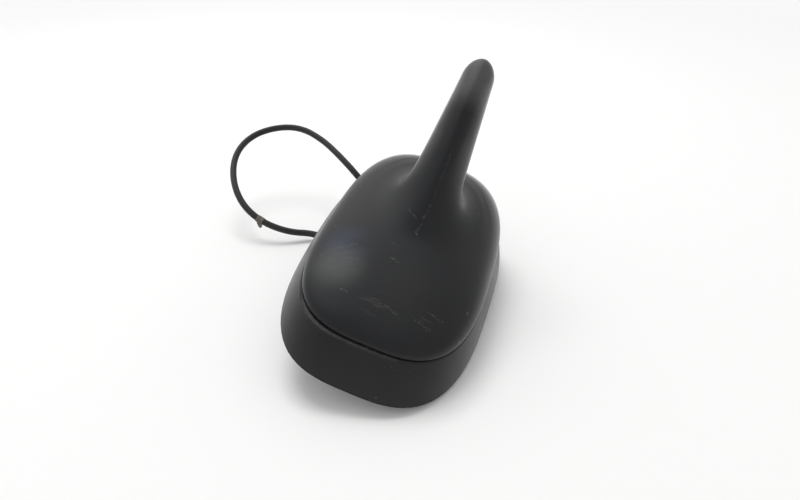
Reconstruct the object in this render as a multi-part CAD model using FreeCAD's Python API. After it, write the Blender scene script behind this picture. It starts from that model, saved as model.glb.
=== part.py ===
import FreeCAD, Part
import math
import os

# Car roof aerial: a dome and swept-back mast moulded as one cover, a flared rubber skirt,
# a die-cast base plate with a hollow stud, the electronics on a board, and a coaxial lead.
# Millimetres. The roof is the plane z = 0, the stud's axis is the Z axis, and the front is -Y.

# Base outline: a rounded oval whose front is squarer than its rear
base_half_width = 35.0
base_half_length = 57.0
front_squareness = 3.1
rear_squareness = 2.87
base_widening = 0.045        # how much wider the skirt is at its rear end, as a share
ring_points = 36

# Parting line between cover and skirt, which falls a little towards the rear
parting_inset_front = 9.0
parting_inset_rear = 5.2
parting_inset_side = 4.2
parting_z_front = 12.7
parting_z_rear = 10.4
parting_gap = 0.35
skirt_ledge = 0.5            # the skirt's top edge stands out past the cover

# Dome
dome_height = 14.0           # above the middle of the parting line
dome_squareness = 2.36
dome_rise = 0.096            # slope of the dome's top, up towards the rear
dome_ring_angles = (0, 8, 16, 24, 32, 40)
dome_top_shares = (0.33, 0.67)    # rings on the dome's top, from the last of those to the mast's foot
cover_wall = 2.6
tongue_inset = 1.4
tongue_wall = 1.6

# Mast, along an axis that leans back in the plane of symmetry
mast_lean = 42.0
mast_root_y = 6.3
mast_root_z = 25.1
mast_length = 57.6
mast_root_half_width = 9.4
mast_root_half_depth = 8.4
mast_tip_half_width = 5.7
mast_tip_half_depth = 5.7
mast_keel = 1.6              # squareness of the front: under 2, its edge is pointed
mast_rear_squareness = 2.0
mast_tip_round = 7.5         # length over which its sides round off to the tip
mast_tip_slope = 15.0        # and its front and back
mast_tip_angles = (25, 50, 72)
mast_foot_fillet = 7.0
mast_foot_front = 0.45       # spread of the foot to the front, as a share of its spread to the sides
mast_foot_rear = 2.0         # and to the rear
mast_foot_angles = (0, 22, 45, 68, 90)
mast_foot_likeness = 0.6     # how far the foot's outline follows the dome's
mast_level_out = 24.0        # from here up, the sections stand square to the mast
mast_rings = 6
mast_wall = 2.4
mast_tip_wall = 11.6         # solid plastic between the hollow and the tip

# Skirt and base plate
web_thickness = 1.5
web_inset = 8.5
plate_thickness = 3.0
skirt_clearance = 0.25
gasket_thickness = 1.0
gasket_overhang = 0.6

# Stud and its seal
stud_radius = 7.0
stud_reach = 7.5
stud_chamfer = 0.8
stud_bore_radius = 5.0
seal_inner_radius = 9.0
seal_outer_radius = 15.0

# Cover screws, from below into bosses of the cover, set in from the parting line
cover_screw_inset_side = 8.4
cover_screw_inset_front = 20.0
cover_screw_inset_rear = 21.8
cover_screw_radius = 1.5
cover_screw_length = 9.0
cover_screw_head_radius = 2.9
cover_screw_head_height = 1.5
cover_boss_radius = 3.4
screw_clearance = 0.2
head_sink = 0.2

# Circuit board on four posts of the plate, set in from the parting line
board_inset_side = 13.4
board_inset_front = 9.0
board_inset_rear = 14.8
board_thickness = 1.6
board_corner = 4.0
board_hole_clearance = 0.1
post_height = 3.5
post_radius = 2.6
post_inset_side = 3.4
post_inset_end = 4.0
board_screw_radius = 1.0
board_screw_length = 3.4
board_screw_head_radius = 1.9
board_screw_head_height = 1.2

# Satellite patch and its feed
patch_inset = 5.5            # from the board's front edge
patch_gap = 1.8              # to the radiator's foot
patch_height = 4.0
patch_chamfer = 0.6
feed_x = 2.2
feed_offset_y = 1.6
feed_radius = 0.6
feed_head_radius = 1.3
feed_head_height = 0.5

# Amplifier under its shield
can_inset = 4.0              # from the board's rear edge
can_gap = 1.0                # to the radiator's bracket
can_width = 18.0
can_height = 4.5
can_wall = 0.3
can_hole_radius = 0.8
can_hole_pitch = 5.0
chip_size = 6.0
chip_height = 1.2

# Mast radiator, a stamped strip with a bent foot
strip_thickness = 0.8
strip_root_half_width = 4.0
strip_tip_half_width = 2.2
strip_below_root = 18.0      # how much longer the strip is than the mast's hollow
strip_foot = 6.0
bracket_half_width = 3.2
bracket_front = 1.0
bracket_depth = 7.0
bracket_back_height = 4.4
bracket_seat = 3.0           # length of strip that rests on the bracket

# Coaxial lead
cable_radius = 1.4
cable_x = 2.5
lead_top_gap = 1.0           # from the jacket's end to the board
core_radius = 0.45
core_clearance = 0.1
core_stand = 0.5
ferrule_wall = 0.7
grommet_clearance = 0.05
grommet_head_radius = 6.5
grommet_head_height = 1.5

# Plug on the lead's far end
crimp_radius = 2.3
crimp_length = 9.0
crimp_cover = 2.0            # how far the crimp goes into the housing
housing_size = 12.5
housing_length = 23.0
housing_corner = 1.6
socket_radius = 4.6
socket_depth = 14.0
latch_width = 5.0
latch_height = 1.6
latch_length = 9.0
barrel_radius = 3.4
barrel_wall = 0.7
barrel_length = 11.0
flange_thickness = 2.0
insulator_length = 3.0
pin_radius = 0.5
pin_stand = 6.0

# Route of the free lead, from the stud's end round the loop to the plug. The bench that it
# lies on slopes against the roof plane, because the aerial rests on its rim and its lead.
bench_up = FreeCAD.Vector(-0.2874, 0.1262, 0.9495)
bend_share = 0.48            # share of each run that a bend may take
lead_route = [
    (2.5, 0.0, -7.5),
    (2.5, 0.0, -11.3),
    (0.5, 1.45, -14.4),
    (-4.7, 5.15, -16.2),
    (-14.5, 12.2, -18.8),
    (-28.5, 23.5, -24.6),
    (-42.5, 31.5, -29.9),
    (-55.5, 30.2, -31.0),
    (-68.5, 27.0, -29.6),
    (-80.5, 30.5, -27.2),
    (-90.5, 41.0, -24.9),
    (-96.5, 55.0, -22.4),
    (-95.5, 68.0, -19.4),
    (-87.0, 76.0, -15.0),
    (-74.5, 79.0, -11.4),
    (-61.0, 74.5, -10.2),
    (-48.0, 66.0, -9.8),
    (-38.0, 60.5, -11.5),
    (-30.0, 59.6, -16.6),
    (-21.5, 60.8, -20.8),
    (-10.0, 62.6, -20.2),
]


def cylinder(radius, height, x, y, z):
    return Part.makeCylinder(radius, height, FreeCAD.Vector(x, y, z))


def tube(outer, inner, height, x, y, z):
    return cylinder(outer, height, x, y, z).cut(cylinder(inner, height, x, y, z))


def slab(width, length, height, x, y, z):
    """A box centred on x and y that stands on z."""
    return Part.makeBox(width, length, height, FreeCAD.Vector(x - width / 2, y - length / 2, z))


def group(solids):
    return Part.makeCompound(solids)


def power(value, exponent):
    return math.copysign(abs(value) ** exponent, value)


def outline(centre, tilt, half_width, half_length, front_square, rear_square, widening=0.0):
    """Points of an oval about centre, in a plane tilted about X, with its own squareness at each end."""
    back = FreeCAD.Vector(0, math.cos(tilt), -math.sin(tilt))
    points = []
    for i in range(ring_points):
        turn = 2 * math.pi * i / ring_points
        square = front_square if math.sin(turn) < 0 else rear_square
        across = power(math.cos(turn), 2 / square)
        along = power(math.sin(turn), 2 / square)
        aside = FreeCAD.Vector(half_width * across * (1 + widening * along), 0, 0)
        points.append(centre + aside + back * (half_length * along))
    return points


def ring(points):
    curve = Part.BSplineCurve()
    curve.interpolate(points, PeriodicFlag=True)
    return Part.Wire(curve.toShape())


parting_front = -base_half_length + parting_inset_front
parting_rear = base_half_length - parting_inset_rear
parting_middle_y = (parting_front + parting_rear) / 2
parting_half_length = (parting_rear - parting_front) / 2
parting_half_width = base_half_width - parting_inset_side
parting_middle_z = (parting_z_front + parting_z_rear) / 2
parting_slope = (parting_z_rear - parting_z_front) / (parting_rear - parting_front)
plate_bottom = web_thickness
plate_top = plate_bottom + plate_thickness
tongue_bottom = plate_top + gasket_thickness
cover_screw_x = parting_half_width - cover_screw_inset_side
cover_screw_y_front = parting_front + cover_screw_inset_front
cover_screw_y_rear = parting_rear - cover_screw_inset_rear
board_half_width = parting_half_width - board_inset_side
board_front = parting_front + board_inset_front
board_rear = parting_rear - board_inset_rear
post_x = board_half_width - post_inset_side
post_y_front = board_front + post_inset_end
post_y_rear = board_rear - post_inset_end
board_bottom = plate_top + post_height
board_top = board_bottom + board_thickness


def parting_z(y):
    return parting_middle_z + parting_slope * (y - parting_middle_y)


def oval(inset, z, slope=0.0, share=1.0):
    """The parting line's outline, taken in by inset and then to a share of its size, at a height and slope."""
    tilt = -math.atan(slope)
    half_length = (parting_half_length - inset) * share / math.cos(tilt)
    return outline(FreeCAD.Vector(0, parting_middle_y, z), tilt, (parting_half_width - inset) * share,
                   half_length, front_squareness, rear_squareness)


def prism(inset, low, high):
    """An upright block on the parting line's outline, taken in by inset."""
    return Part.Face(ring(oval(inset, low))).extrude(FreeCAD.Vector(0, 0, high - low))


lean = math.radians(mast_lean)
mast_along = FreeCAD.Vector(0, math.sin(lean), math.cos(lean))
mast_back = FreeCAD.Vector(0, math.cos(lean), -math.sin(lean))
mast_shoulder = mast_length - mast_tip_round
mast_hollow_length = mast_length - mast_tip_wall
mast_foot_top = mast_foot_fillet / math.cos(lean)
strip_start_y = mast_root_y + (board_top - mast_root_z) * math.tan(lean)
patch_front = board_front + patch_inset
patch_size = strip_start_y - strip_foot - patch_gap - patch_front
patch_y = patch_front + patch_size / 2
can_front = bracket_front + bracket_depth + can_gap
can_length = board_rear - can_inset - can_front
can_y = can_front + can_length / 2


def dome_level(inset, lift):
    """Height over the middle of the parting line, and slope, of the dome at a share of its rise."""
    top = parting_middle_z + dome_height - inset + dome_rise * parting_middle_y
    return parting_middle_z * (1 - lift) + top * lift, dome_rise * lift


def dome_surface(x, y, inset):
    """Height of the dome, set in by a wall, over a point inside the parting line."""
    square = front_squareness if y < parting_middle_y else rear_squareness
    aside = abs(x) / (parting_half_width - inset)
    ahead = abs(y - parting_middle_y) / (parting_half_length - inset)
    share = (aside ** square + ahead ** square) ** (1 / square)
    lift = (1 - share ** dome_squareness) ** (1 / dome_squareness)
    z, slope = dome_level(inset, lift)
    return z + (slope + parting_slope / share * (1 - lift)) * (y - parting_middle_y)


def on_dome(points, inset, rise=0.0):
    return [FreeCAD.Vector(p.x, p.y, dome_surface(p.x, p.y, inset) + rise) for p in points]


def between(first, second, share):
    return [a + (b - a) * share for a, b in zip(first, second)]


def dome_rows(inset, wall):
    """Rings of points from the parting line up to where the mast's foot begins."""
    rows = []
    for angle in dome_ring_angles:
        share = math.cos(math.radians(angle)) ** (2 / dome_squareness)
        lift = math.sin(math.radians(angle)) ** (2 / dome_squareness)
        z, slope = dome_level(inset, lift)
        rows.append(oval(inset, z, slope + parting_slope / share * (1 - lift), share))
    edge = rows[-1]
    foot = foot_row(inset, wall, 0.0)
    return rows + [on_dome(between(edge, foot, share), inset) for share in dome_top_shares]


def mast_row(wall, distance, width_share=1.0, depth_share=1.0, flare=0.0, foot=0.0):
    """A section of the mast: level with the dome at its foot, and square to the axis higher up."""
    taper = min(distance, mast_shoulder) / mast_shoulder
    half_width = mast_root_half_width + (mast_tip_half_width - mast_root_half_width) * taper
    half_depth = mast_root_half_depth + (mast_tip_half_depth - mast_root_half_depth) * taper
    level = min(1.0, distance / mast_level_out)
    dome_tilt = -math.atan(dome_rise)
    tilt = dome_tilt + (lean - dome_tilt) * level * level * (3 - 2 * level)
    likeness = mast_foot_likeness * foot
    front_square = mast_keel + (front_squareness - mast_keel) * likeness
    rear_square = mast_rear_squareness + (rear_squareness - mast_rear_squareness) * likeness
    half_length = (half_depth - wall) * depth_share / math.cos(lean - tilt)
    to_front = half_length + flare * mast_foot_front
    to_rear = half_length + flare * mast_foot_rear
    back = FreeCAD.Vector(0, math.cos(tilt), -math.sin(tilt))
    centre = FreeCAD.Vector(0, mast_root_y, mast_root_z) + mast_along * distance
    return outline(centre + back * ((to_rear - to_front) / 2), tilt, (half_width - wall) * width_share + flare,
                   (to_front + to_rear) / 2, front_square, rear_square)


def foot_row(inset, wall, angle):
    """A ring of the fillet that the mast stands on, from level with the dome (0) to along the mast (90)."""
    flare = mast_foot_fillet * (1 - math.sin(math.radians(angle)))
    step = 1 - math.cos(math.radians(angle))
    rise = mast_foot_fillet * step
    section = mast_row(wall, rise / math.cos(lean), flare=flare, foot=1 - step)
    return between(on_dome(section, inset, rise), section, step)


def round_off(left, length):
    """Share of the full size that is left near a rounded end."""
    return math.sqrt(1 - (1 - min(1.0, left / length)) ** 2)


def mast_rows(wall, end):
    """Rings of points from the top of the mast's foot to its rounded end."""
    tip_round = mast_tip_round - wall
    shoulder = end - tip_round
    step = (shoulder - mast_foot_top) / mast_rings
    distances = [mast_foot_top + step * (i + 1) for i in range(mast_rings)]
    distances += [shoulder + tip_round * math.sin(math.radians(angle)) for angle in mast_tip_angles]
    return [mast_row(wall, distance, round_off(end - distance, tip_round),
                     round_off(end - distance, mast_tip_slope - wall)) for distance in distances]


def cover_form(inset, wall, end):
    """Dome and mast in one form, set in by one wall at the dome and by another at the mast."""
    rows = dome_rows(inset, wall) + [foot_row(inset, wall, angle) for angle in mast_foot_angles]
    rows += mast_rows(wall, end)
    tip = FreeCAD.Vector(0, mast_root_y, mast_root_z) + mast_along * end
    return Part.makeLoft([ring(row) for row in rows] + [Part.Vertex(tip)], True)


cover_screw_places = [(side * cover_screw_x, y) for side in (-1, 1)
                      for y in (cover_screw_y_front, cover_screw_y_rear)]
board_screw_places = [(side * post_x, y) for side in (-1, 1) for y in (post_y_front, post_y_rear)]


def antenna_cover():
    outside = cover_form(0.0, 0.0, mast_length)
    hollow = cover_form(cover_wall, mast_wall, mast_hollow_length)
    shell = outside.cut(hollow)
    tongue = prism(tongue_inset, tongue_bottom, parting_z_front + cover_wall)
    tongue = tongue.cut(prism(tongue_inset + tongue_wall, tongue_bottom, parting_z_front + cover_wall))
    tongue = tongue.cut(above_parting(cover_wall))
    boss_height = parting_middle_z + dome_height - plate_top
    bosses = group([cylinder(cover_boss_radius, boss_height, x, y, plate_top) for x, y in cover_screw_places])
    low_bosses = bosses.cut(above_parting(0.0))
    high_bosses = bosses.common(outside)
    shell = shell.fuse([tongue, low_bosses, high_bosses])
    return shell.cut([cylinder(cover_screw_radius, cover_screw_length, x, y, plate_top)
                      for x, y in cover_screw_places])


def above_parting(lift):
    """The space over the parting plane, raised by lift."""
    reach = 2 * base_half_length
    corners = [(-reach, -reach), (reach, -reach), (reach, reach), (-reach, reach)]
    points = [FreeCAD.Vector(x, y, parting_z(y) + lift) for x, y in corners]
    face = Part.Face(Part.makePolygon(points + points[:1]))
    return face.extrude(FreeCAD.Vector(0, 0, reach))


def rubber_skirt():
    foot = outline(FreeCAD.Vector(0, 0, 0), 0.0, base_half_width, base_half_length,
                   front_squareness, rear_squareness, base_widening)
    edge = oval(-skirt_ledge, parting_middle_z - parting_gap, parting_slope)
    outside = Part.makeLoft([ring(foot), ring(edge)], True)
    pocket = prism(tongue_inset - skirt_clearance, web_thickness, parting_z_front)
    window = prism(web_inset, 0.0, web_thickness)
    return outside.cut(pocket).cut(window)


def base_plate():
    plate = prism(tongue_inset, plate_bottom, plate_top)
    stud = cylinder(stud_radius, stud_reach + plate_bottom, 0, 0, -stud_reach)
    rim = [edge for edge in stud.Edges if edge.BoundBox.ZMax < -stud_reach + 1e-6]
    plate = plate.fuse(stud.makeChamfer(stud_chamfer, rim))
    for x, y in board_screw_places:
        plate = plate.fuse(cylinder(post_radius, post_height, x, y, plate_top))
    plate = plate.cut(cylinder(stud_bore_radius, stud_reach + plate_top, 0, 0, -stud_reach))
    hole_radius = cover_screw_radius + screw_clearance
    sink_radius = cover_screw_head_radius + screw_clearance
    sink_depth = cover_screw_head_height + head_sink
    for x, y in cover_screw_places:
        plate = plate.cut(cylinder(hole_radius, plate_thickness, x, y, plate_bottom))
        plate = plate.cut(cylinder(sink_radius, sink_depth, x, y, plate_bottom))
    for x, y in board_screw_places:
        plate = plate.cut(cylinder(board_screw_radius, board_screw_length, x, y,
                                   board_top - board_screw_length))
    return plate


def stud_seal():
    return tube(seal_outer_radius, seal_inner_radius, plate_bottom, 0, 0, 0)


def cover_gasket():
    ring = prism(tongue_inset, plate_top, tongue_bottom)
    ring = ring.cut(prism(tongue_inset + tongue_wall + gasket_overhang, plate_top, tongue_bottom))
    for x, y in cover_screw_places:
        ring = ring.cut(cylinder(cover_boss_radius + screw_clearance, gasket_thickness, x, y, plate_top))
    return ring


def cover_screws():
    screws = []
    seat = plate_bottom + cover_screw_head_height + head_sink
    for x, y in cover_screw_places:
        head = cylinder(cover_screw_head_radius, cover_screw_head_height, x, y,
                        seat - cover_screw_head_height)
        shank = cylinder(cover_screw_radius, plate_top + cover_screw_length - seat, x, y, seat)
        screws.append(head.fuse(shank))
    return group(screws)


def circuit_board():
    length = board_rear - board_front
    board = slab(2 * board_half_width, length, board_thickness, 0, board_front + length / 2, board_bottom)
    upright = [edge for edge in board.Edges if edge.BoundBox.ZLength > board_thickness / 2]
    board = board.makeFillet(board_corner, upright)
    for x, y in board_screw_places:
        hole_radius = board_screw_radius + board_hole_clearance
        board = board.cut(cylinder(hole_radius, board_thickness, x, y, board_bottom))
    return board.cut(cylinder(core_radius + core_clearance, board_thickness, cable_x, 0, board_bottom))


def board_screws():
    screws = []
    for x, y in board_screw_places:
        head = cylinder(board_screw_head_radius, board_screw_head_height, x, y, board_top)
        shank = cylinder(board_screw_radius, board_screw_length, x, y, board_top - board_screw_length)
        screws.append(head.fuse(shank))
    return group(screws)


def gps_patch():
    patch = slab(patch_size, patch_size, patch_height, 0, patch_y, board_top)
    upper = [edge for edge in patch.Edges if edge.BoundBox.ZMin > board_top + patch_height / 2]
    patch = patch.makeChamfer(patch_chamfer, upper)
    return patch.cut(cylinder(feed_radius, patch_height, feed_x, patch_y + feed_offset_y, board_top))


def patch_feed_pin():
    y = patch_y + feed_offset_y
    pin = cylinder(feed_radius, patch_height, feed_x, y, board_top)
    return pin.fuse(cylinder(feed_head_radius, feed_head_height, feed_x, y, board_top + patch_height))


def shield_can():
    can = slab(can_width, can_length, can_height, 0, can_y, board_top)
    can = can.cut(slab(can_width - 2 * can_wall, can_length - 2 * can_wall, can_height - can_wall,
                       0, can_y, board_top))
    for row in (-1, 0, 1):
        for side in (-0.5, 0.5):
            can = can.cut(cylinder(can_hole_radius, can_height, side * can_hole_pitch,
                                   can_y + row * can_hole_pitch, board_top))
    return can


def amplifier_chip():
    return slab(chip_size, chip_size, chip_height, 0, can_y, board_top)


def axis_point_at(z):
    """Where the mast's axis passes a height."""
    return FreeCAD.Vector(0, mast_root_y, mast_root_z) + mast_along * ((z - mast_root_z) / mast_along.z)


def mast_radiator():
    start = axis_point_at(board_top)
    end = start + mast_along * (mast_hollow_length + strip_below_root)
    across = FreeCAD.Vector(1, 0, 0)
    corners = [start - across * strip_root_half_width, start + across * strip_root_half_width,
               end + across * strip_tip_half_width, end - across * strip_tip_half_width]
    blade = Part.Face(Part.makePolygon(corners + corners[:1]))
    blade = blade.extrude(mast_back * -strip_thickness)
    foot = Part.makeBox(2 * strip_root_half_width, strip_foot, strip_thickness,
                        FreeCAD.Vector(-strip_root_half_width, start.y - strip_foot, board_top))
    floor = slab(4 * strip_root_half_width, 4 * strip_foot, strip_foot, 0, start.y, board_top - strip_foot)
    return blade.fuse(foot).cut(floor)


def radiator_bracket():
    start = axis_point_at(board_top)
    low = start + mast_along * ((bracket_front - start.y) / mast_along.y)
    high = low + mast_along * bracket_seat
    back = bracket_front + bracket_depth
    profile = [(bracket_front, board_top), (back, board_top), (back, board_top + bracket_back_height),
               (high.y, high.z), (low.y, low.z)]
    points = [FreeCAD.Vector(-bracket_half_width, y, z) for y, z in profile]
    face = Part.Face(Part.makePolygon(points + points[:1]))
    return face.extrude(FreeCAD.Vector(2 * bracket_half_width, 0, 0))


grommet_top = plate_top + grommet_head_height
lead_top = board_bottom - lead_top_gap


def cable_grommet():
    body = cylinder(stud_bore_radius - grommet_clearance, stud_reach + plate_top, 0, 0, -stud_reach)
    body = body.fuse(cylinder(grommet_head_radius, grommet_head_height, 0, 0, plate_top))
    return body.cut(cylinder(cable_radius, stud_reach + grommet_top, cable_x, 0, -stud_reach))


def coax_lead():
    return cylinder(cable_radius, stud_reach + lead_top, cable_x, 0, -stud_reach)


def lead_ferrule():
    return tube(cable_radius + ferrule_wall, cable_radius, board_bottom - grommet_top, cable_x, 0, grommet_top)


def lead_core():
    return cylinder(core_radius, board_top + core_stand - lead_top, cable_x, 0, lead_top)


def rounded_path(points):
    """Straight runs joined by the largest tangent arcs that the runs have room for."""
    points = [FreeCAD.Vector(*point) for point in points]
    edges = []
    radii = []
    start = points[0]
    for before, corner, after in zip(points, points[1:], points[2:]):
        to_before = (before - corner).normalize()
        to_after = (after - corner).normalize()
        run = min((before - corner).Length, (after - corner).Length)
        turn = math.pi - to_before.getAngle(to_after)
        setback = bend_share * run
        radius = setback / math.tan(turn / 2)
        middle = (to_before + to_after).normalize()
        bulge = corner + middle * (radius / math.cos(turn / 2) - radius)
        first = corner + to_before * setback
        last = corner + to_after * setback
        edges.append(Part.LineSegment(start, first).toShape())
        edges.append(Part.Arc(first, bulge, last).toShape())
        radii.append(radius)
        start = last
    edges.append(Part.LineSegment(start, points[-1]).toShape())
    return Part.Wire(edges), radii


def coax_cable():
    path, radii = rounded_path(lead_route)
    start = FreeCAD.Vector(*lead_route[0])
    heading = FreeCAD.Vector(*lead_route[1]) - start
    section = Part.Wire(Part.makeCircle(cable_radius, start, heading))
    cable = path.makePipeShell([section], True, False)
    expected = math.pi * cable_radius ** 2 * path.Length
    print("lead length", round(path.Length, 1), "volume share", round(cable.Volume / expected, 4))
    print("lead radii", [round(radius, 1) for radius in radii])
    return cable


def plug_placement():
    """The plug's own X axis runs on from the lead, and its Z axis stands square to that."""
    end = FreeCAD.Vector(*lead_route[-1])
    ahead = (end - FreeCAD.Vector(*lead_route[-2])).normalize()
    side = bench_up.cross(ahead).normalize()
    up = ahead.cross(side)
    turn = FreeCAD.Rotation(ahead, side, up, "XYZ")
    return FreeCAD.Placement(end, turn)


def along_plug(radius, start, length):
    return Part.makeCylinder(radius, length, FreeCAD.Vector(start, 0, 0), FreeCAD.Vector(1, 0, 0))


def place(shape):
    shape.Placement = plug_placement()
    return shape


housing_start = crimp_length - crimp_cover
housing_end = housing_start + housing_length
socket_floor = housing_end - socket_depth


def connector_crimp():
    return place(along_plug(crimp_radius, 0, crimp_length))


def connector_housing():
    body = Part.makeBox(housing_length, housing_size, housing_size,
                        FreeCAD.Vector(housing_start, -housing_size / 2, -housing_size / 2))
    lengthwise = [edge for edge in body.Edges if edge.BoundBox.XLength > housing_length / 2]
    body = body.makeFillet(housing_corner, lengthwise)
    latch = Part.makeBox(latch_length, latch_width, latch_height,
                         FreeCAD.Vector(housing_end - latch_length, -latch_width / 2, housing_size / 2))
    body = body.fuse(latch)
    body = body.cut(along_plug(socket_radius, socket_floor, socket_depth))
    return place(body.cut(along_plug(crimp_radius, housing_start, crimp_cover)))


def connector_barrel():
    barrel = along_plug(barrel_radius, socket_floor, barrel_length)
    barrel = barrel.fuse(along_plug(socket_radius, socket_floor, flange_thickness))
    return place(barrel.cut(along_plug(barrel_radius - barrel_wall, socket_floor, barrel_length)))


def connector_insulator():
    body = along_plug(barrel_radius - barrel_wall, socket_floor, insulator_length)
    return place(body.cut(along_plug(pin_radius, socket_floor, insulator_length)))


def connector_pin():
    return place(along_plug(pin_radius, socket_floor, insulator_length + pin_stand))


pieces = [
    antenna_cover, rubber_skirt, base_plate, stud_seal, cover_gasket, cover_screws,
    circuit_board, board_screws, gps_patch, patch_feed_pin, shield_can, amplifier_chip,
    mast_radiator, radiator_bracket, cable_grommet, coax_lead, lead_ferrule, lead_core,
    coax_cable, connector_crimp, connector_housing, connector_barrel, connector_insulator, connector_pin,
]

os.makedirs("parts", exist_ok=True)
for piece in pieces:
    shape = piece()
    name = piece.__name__
    shape.exportStep(f"parts/{name}.step")
    print(name, "solids", len(shape.Solids), "valid", shape.isValid(), "volume", round(shape.Volume, 1))
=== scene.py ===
import bmesh
import bpy
import math
import numpy as np
from mathutils import Matrix, Vector


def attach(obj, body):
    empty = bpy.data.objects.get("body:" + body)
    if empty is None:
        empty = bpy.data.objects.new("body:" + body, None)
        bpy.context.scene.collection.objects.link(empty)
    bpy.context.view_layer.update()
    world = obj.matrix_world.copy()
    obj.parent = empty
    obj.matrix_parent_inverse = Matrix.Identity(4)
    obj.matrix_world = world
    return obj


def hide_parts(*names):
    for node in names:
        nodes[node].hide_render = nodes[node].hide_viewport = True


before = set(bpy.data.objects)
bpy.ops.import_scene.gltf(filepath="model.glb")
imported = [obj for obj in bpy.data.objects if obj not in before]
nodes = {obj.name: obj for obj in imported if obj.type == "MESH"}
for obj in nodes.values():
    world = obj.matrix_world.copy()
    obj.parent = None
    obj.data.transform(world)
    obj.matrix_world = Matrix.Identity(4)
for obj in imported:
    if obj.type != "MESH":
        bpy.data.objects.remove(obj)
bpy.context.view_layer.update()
scene = bpy.context.scene
scene.view_settings.view_transform = "Standard"
mm = 0.001
print("frame loaded:", len(nodes), "nodes")

# Camera, at the photograph's viewing angle, placed in metres
cameraSet = {
    "place": (0.00877, -0.15907, 0.15523),
    "right": (0.9261, 0.2895, 0.2418),
    "up": (-0.3732, 0.6098, 0.6992),
    "back": (0.0549, -0.7378, 0.6728),
    "lens": 27.0,
    "sensor": 36.0,
    "nearest": 0.005,
}


def deselectAll():
    if bpy.context.object and bpy.context.object.mode != "OBJECT":
        bpy.ops.object.mode_set(mode="OBJECT")
    bpy.ops.object.select_all(action="DESELECT")


def pick(piece):
    deselectAll()
    piece.select_set(True)
    bpy.context.view_layer.objects.active = piece


def makeCamera():
    deselectAll()
    bpy.ops.object.camera_add()
    camera = bpy.context.object
    axes = [Vector(cameraSet[side]).normalized() for side in ("right", "up", "back")]
    turn = Matrix(axes).transposed().to_4x4()
    camera.matrix_world = Matrix.Translation(cameraSet["place"]) @ turn
    camera.data.sensor_fit = "HORIZONTAL"
    camera.data.sensor_width = cameraSet["sensor"]
    camera.data.lens = cameraSet["lens"]
    camera.data.clip_start = cameraSet["nearest"]
    scene.camera = camera


makeCamera()
print("camera set")

# Node groups, built once and used by several finishes
patternSet = {
    "cloudFrom": 0.3,
    "cloudFull": 0.7,
    "wobbleScale": 420.0,
    "wobbleReach": 1.6,  # millimetres
    "gritScale": 1900.0,
    "gritFull": 0.64,
    "streakFull": 0.78,
    "speckEdge": 0.16,
    "speckCore": 0.08,
    "driftScale": 55.0,
    "driftFull": 0.75,
}


def newGroup(name, takes, gives):
    tree = bpy.data.node_groups.new(name, "ShaderNodeTree")
    for label, kind, start in takes:
        socket = tree.interface.new_socket(label, in_out="INPUT", socket_type="NodeSocket" + kind)
        if start is not None:
            socket.default_value = start
    for label, kind in gives:
        tree.interface.new_socket(label, in_out="OUTPUT", socket_type="NodeSocket" + kind)
    return tree, tree.nodes.new("NodeGroupInput"), tree.nodes.new("NodeGroupOutput")


def addNode(tree, kind, links=None, values=None, **settings):
    made = tree.nodes.new("ShaderNode" + kind)
    for name, value in settings.items():
        setattr(made, name, value)
    for socket, value in (values or {}).items():
        made.inputs[socket].default_value = value
    for socket, source in (links or {}).items():
        tree.links.new(source, made.inputs[socket])
    return made


def times(tree, first, second):
    made = addNode(tree, "Math", {0: first}, operation="MULTIPLY")
    if isinstance(second, float):
        made.inputs[1].default_value = second
    else:
        tree.links.new(second, made.inputs[1])
    return made.outputs["Value"]


def makeMouldGrain():
    # fine moulded grain for bump, and slow cloudy change for colour and gloss
    tree, take, give = newGroup(
        "mouldGrain",
        [("Vector", "Vector", None), ("Grain Scale", "Float", 1500.0), ("Cloud Scale", "Float", 40.0)],
        [("Height", "Float"), ("Cloud", "Float")])
    place = take.outputs["Vector"]
    grain = addNode(tree, "TexNoise", {"Vector": place, "Scale": take.outputs["Grain Scale"]},
                    {"Detail": 3.0, "Roughness": 0.6})
    cloud = addNode(tree, "TexNoise", {"Vector": place, "Scale": take.outputs["Cloud Scale"]},
                    {"Detail": 5.0, "Roughness": 0.62, "Distortion": 0.4})
    cloudy = addNode(tree, "MapRange", {"Value": cloud.outputs["Fac"]},
                     {"From Min": patternSet["cloudFrom"], "From Max": patternSet["cloudFull"]})
    tree.links.new(grain.outputs["Fac"], give.inputs["Height"])
    tree.links.new(cloudy.outputs["Result"], give.inputs["Cloud"])
    return tree


def makeWearNoise():
    # a shaken place and a grit, for scratches with wavering, broken edges
    tree, take, give = newGroup(
        "wearNoise",
        [("Vector", "Vector", None)],
        [("Shaken", "Vector"), ("Grit", "Float")])
    place = take.outputs["Vector"]
    reach = patternSet["wobbleReach"] * mm
    wobble = addNode(tree, "TexNoise", {"Vector": place}, {"Scale": patternSet["wobbleScale"], "Detail": 3.0})
    shift = addNode(tree, "VectorMath", {0: wobble.outputs["Color"]}, {1: (0.5, 0.5, 0.5)},
                    operation="SUBTRACT")
    shake = addNode(tree, "VectorMath", {0: shift.outputs["Vector"], 2: place}, {1: (reach, reach, reach)},
                    operation="MULTIPLY_ADD")
    grit = addNode(tree, "TexNoise", {"Vector": place}, {"Scale": patternSet["gritScale"], "Detail": 2.0})
    tree.links.new(shake.outputs["Vector"], give.inputs["Shaken"])
    tree.links.new(grit.outputs["Fac"], give.inputs["Grit"])
    return tree


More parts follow.
